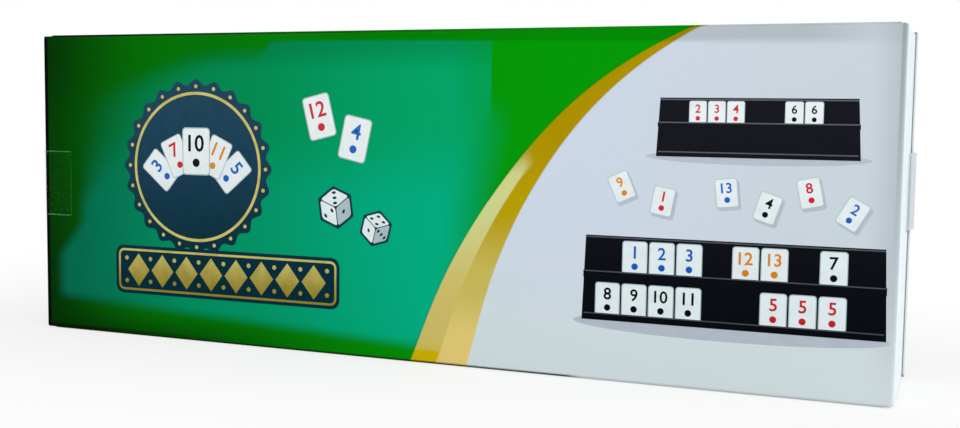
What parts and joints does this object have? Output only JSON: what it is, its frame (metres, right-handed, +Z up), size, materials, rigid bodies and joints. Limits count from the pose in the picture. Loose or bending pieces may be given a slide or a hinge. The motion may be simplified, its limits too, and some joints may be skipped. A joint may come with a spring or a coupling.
{
  "type": "rummy tile case",
  "caption": "Long folding carton of thin fluted board with a tuck flap at each end, holding rummy tiles in a card tray and nested two-tier racks.",
  "frame": {"origin": "centre of the base, the long narrow side that the case stands on", "axes": "+X along the length to the right end, +Y from the printed front to the back, +Z up"},
  "size_m": [0.3821, 0.0607, 0.137],
  "materials": {
    "printed_board": "glossy laminated print on white-lined fluted board",
    "plain_board": "plain kraft fluted board",
    "clear_tape": "clear adhesive film",
    "tray_card": "plain white card",
    "leaflet_paper": "uncoated paper",
    "rack_black": "moulded black plastic",
    "tile_ivory": "polished ivory plastic"
  },
  "bodies": {
    "root": {"front_panel": "printed_board", "back_panel": "printed_board", "top_panel": "printed_board", "bottom_panel": "printed_board", "glue_flap": "plain_board", "divider_pad": "plain_board", "rules_leaflet": "leaflet_paper", "black_tiles": "tile_ivory", "red_tiles": "tile_ivory", "blue_tiles": "tile_ivory", "yellow_tiles": "tile_ivory", "joker_tiles": "tile_ivory", "tray_floor": "tray_card", "tray_front_wall": "tray_card", "tray_back_wall": "tray_card", "tray_left_wall": "tray_card", "tray_right_wall": "tray_card", "rack_1": "rack_black", "rack_1_left_leg": "rack_black", "rack_1_right_leg": "rack_black", "rack_2": "rack_black", "rack_2_left_leg": "rack_black", "rack_2_right_leg": "rack_black", "rack_3": "rack_black", "rack_3_left_leg": "rack_black", "rack_3_right_leg": "rack_black", "rack_4": "rack_black", "rack_4_left_leg": "rack_black", "rack_4_right_leg": "rack_black"},
    "right_end": {"right_end_flap": "printed_board", "right_tape_seal": "clear_tape"},
    "right_tongue": {"right_tuck_tongue": "printed_board"},
    "right_upper_dust": {"right_upper_dust_flap": "printed_board"},
    "right_lower_dust": {"right_lower_dust_flap": "printed_board"},
    "left_end": {"left_end_flap": "printed_board", "left_tape_seal": "clear_tape"},
    "left_tongue": {"left_tuck_tongue": "printed_board"},
    "left_upper_dust": {"left_upper_dust_flap": "printed_board"},
    "left_lower_dust": {"left_lower_dust_flap": "printed_board"}
  },
  "joints": [
    {"name": "right_end_hinge", "type": "hinge", "parent": "root", "child": "right_end", "pos_m": [0.18885, -0.02865, 0.0685], "axis": [0, 0, -1], "range_deg": [0, 175]},
    {"name": "right_tongue_crease", "type": "hinge", "parent": "right_end", "child": "right_tongue", "pos_m": [0.18885, 0.02678, 0.0685], "axis": [0, 0, -1], "range_deg": [0, 14]},
    {"name": "right_upper_dust_crease", "type": "hinge", "parent": "root", "child": "right_upper_dust", "pos_m": [0.18705, 0, 0.13665], "axis": [0, -1, 0], "range_deg": [0, 87.5]},
    {"name": "right_lower_dust_crease", "type": "hinge", "parent": "root", "child": "right_lower_dust", "pos_m": [0.18705, 0, 0.00035], "axis": [0, 1, 0], "range_deg": [0, 87.5]},
    {"name": "left_end_hinge", "type": "hinge", "parent": "root", "child": "left_end", "pos_m": [-0.18885, 0.02865, 0.0685], "axis": [0, 0, -1], "range_deg": [0, 175]},
    {"name": "left_tongue_crease", "type": "hinge", "parent": "left_end", "child": "left_tongue", "pos_m": [-0.18885, -0.02678, 0.0685], "axis": [0, 0, -1], "range_deg": [0, 14]},
    {"name": "left_upper_dust_crease", "type": "hinge", "parent": "root", "child": "left_upper_dust", "pos_m": [-0.18705, 0, 0.13665], "axis": [0, 1, 0], "range_deg": [0, 87.5]},
    {"name": "left_lower_dust_crease", "type": "hinge", "parent": "root", "child": "left_lower_dust", "pos_m": [-0.18705, 0, 0.00035], "axis": [0, -1, 0], "range_deg": [0, 87.5]}
  ],
  "couplings": [
    {"joint": "right_tongue_crease", "follows": "right_end_hinge", "ratio": 0.08},
    {"joint": "right_upper_dust_crease", "follows": "right_end_hinge", "ratio": 0.5},
    {"joint": "right_lower_dust_crease", "follows": "right_end_hinge", "ratio": 0.5},
    {"joint": "left_tongue_crease", "follows": "left_end_hinge", "ratio": 0.08},
    {"joint": "left_upper_dust_crease", "follows": "left_end_hinge", "ratio": 0.5},
    {"joint": "left_lower_dust_crease", "follows": "left_end_hinge", "ratio": 0.5}
  ]
}
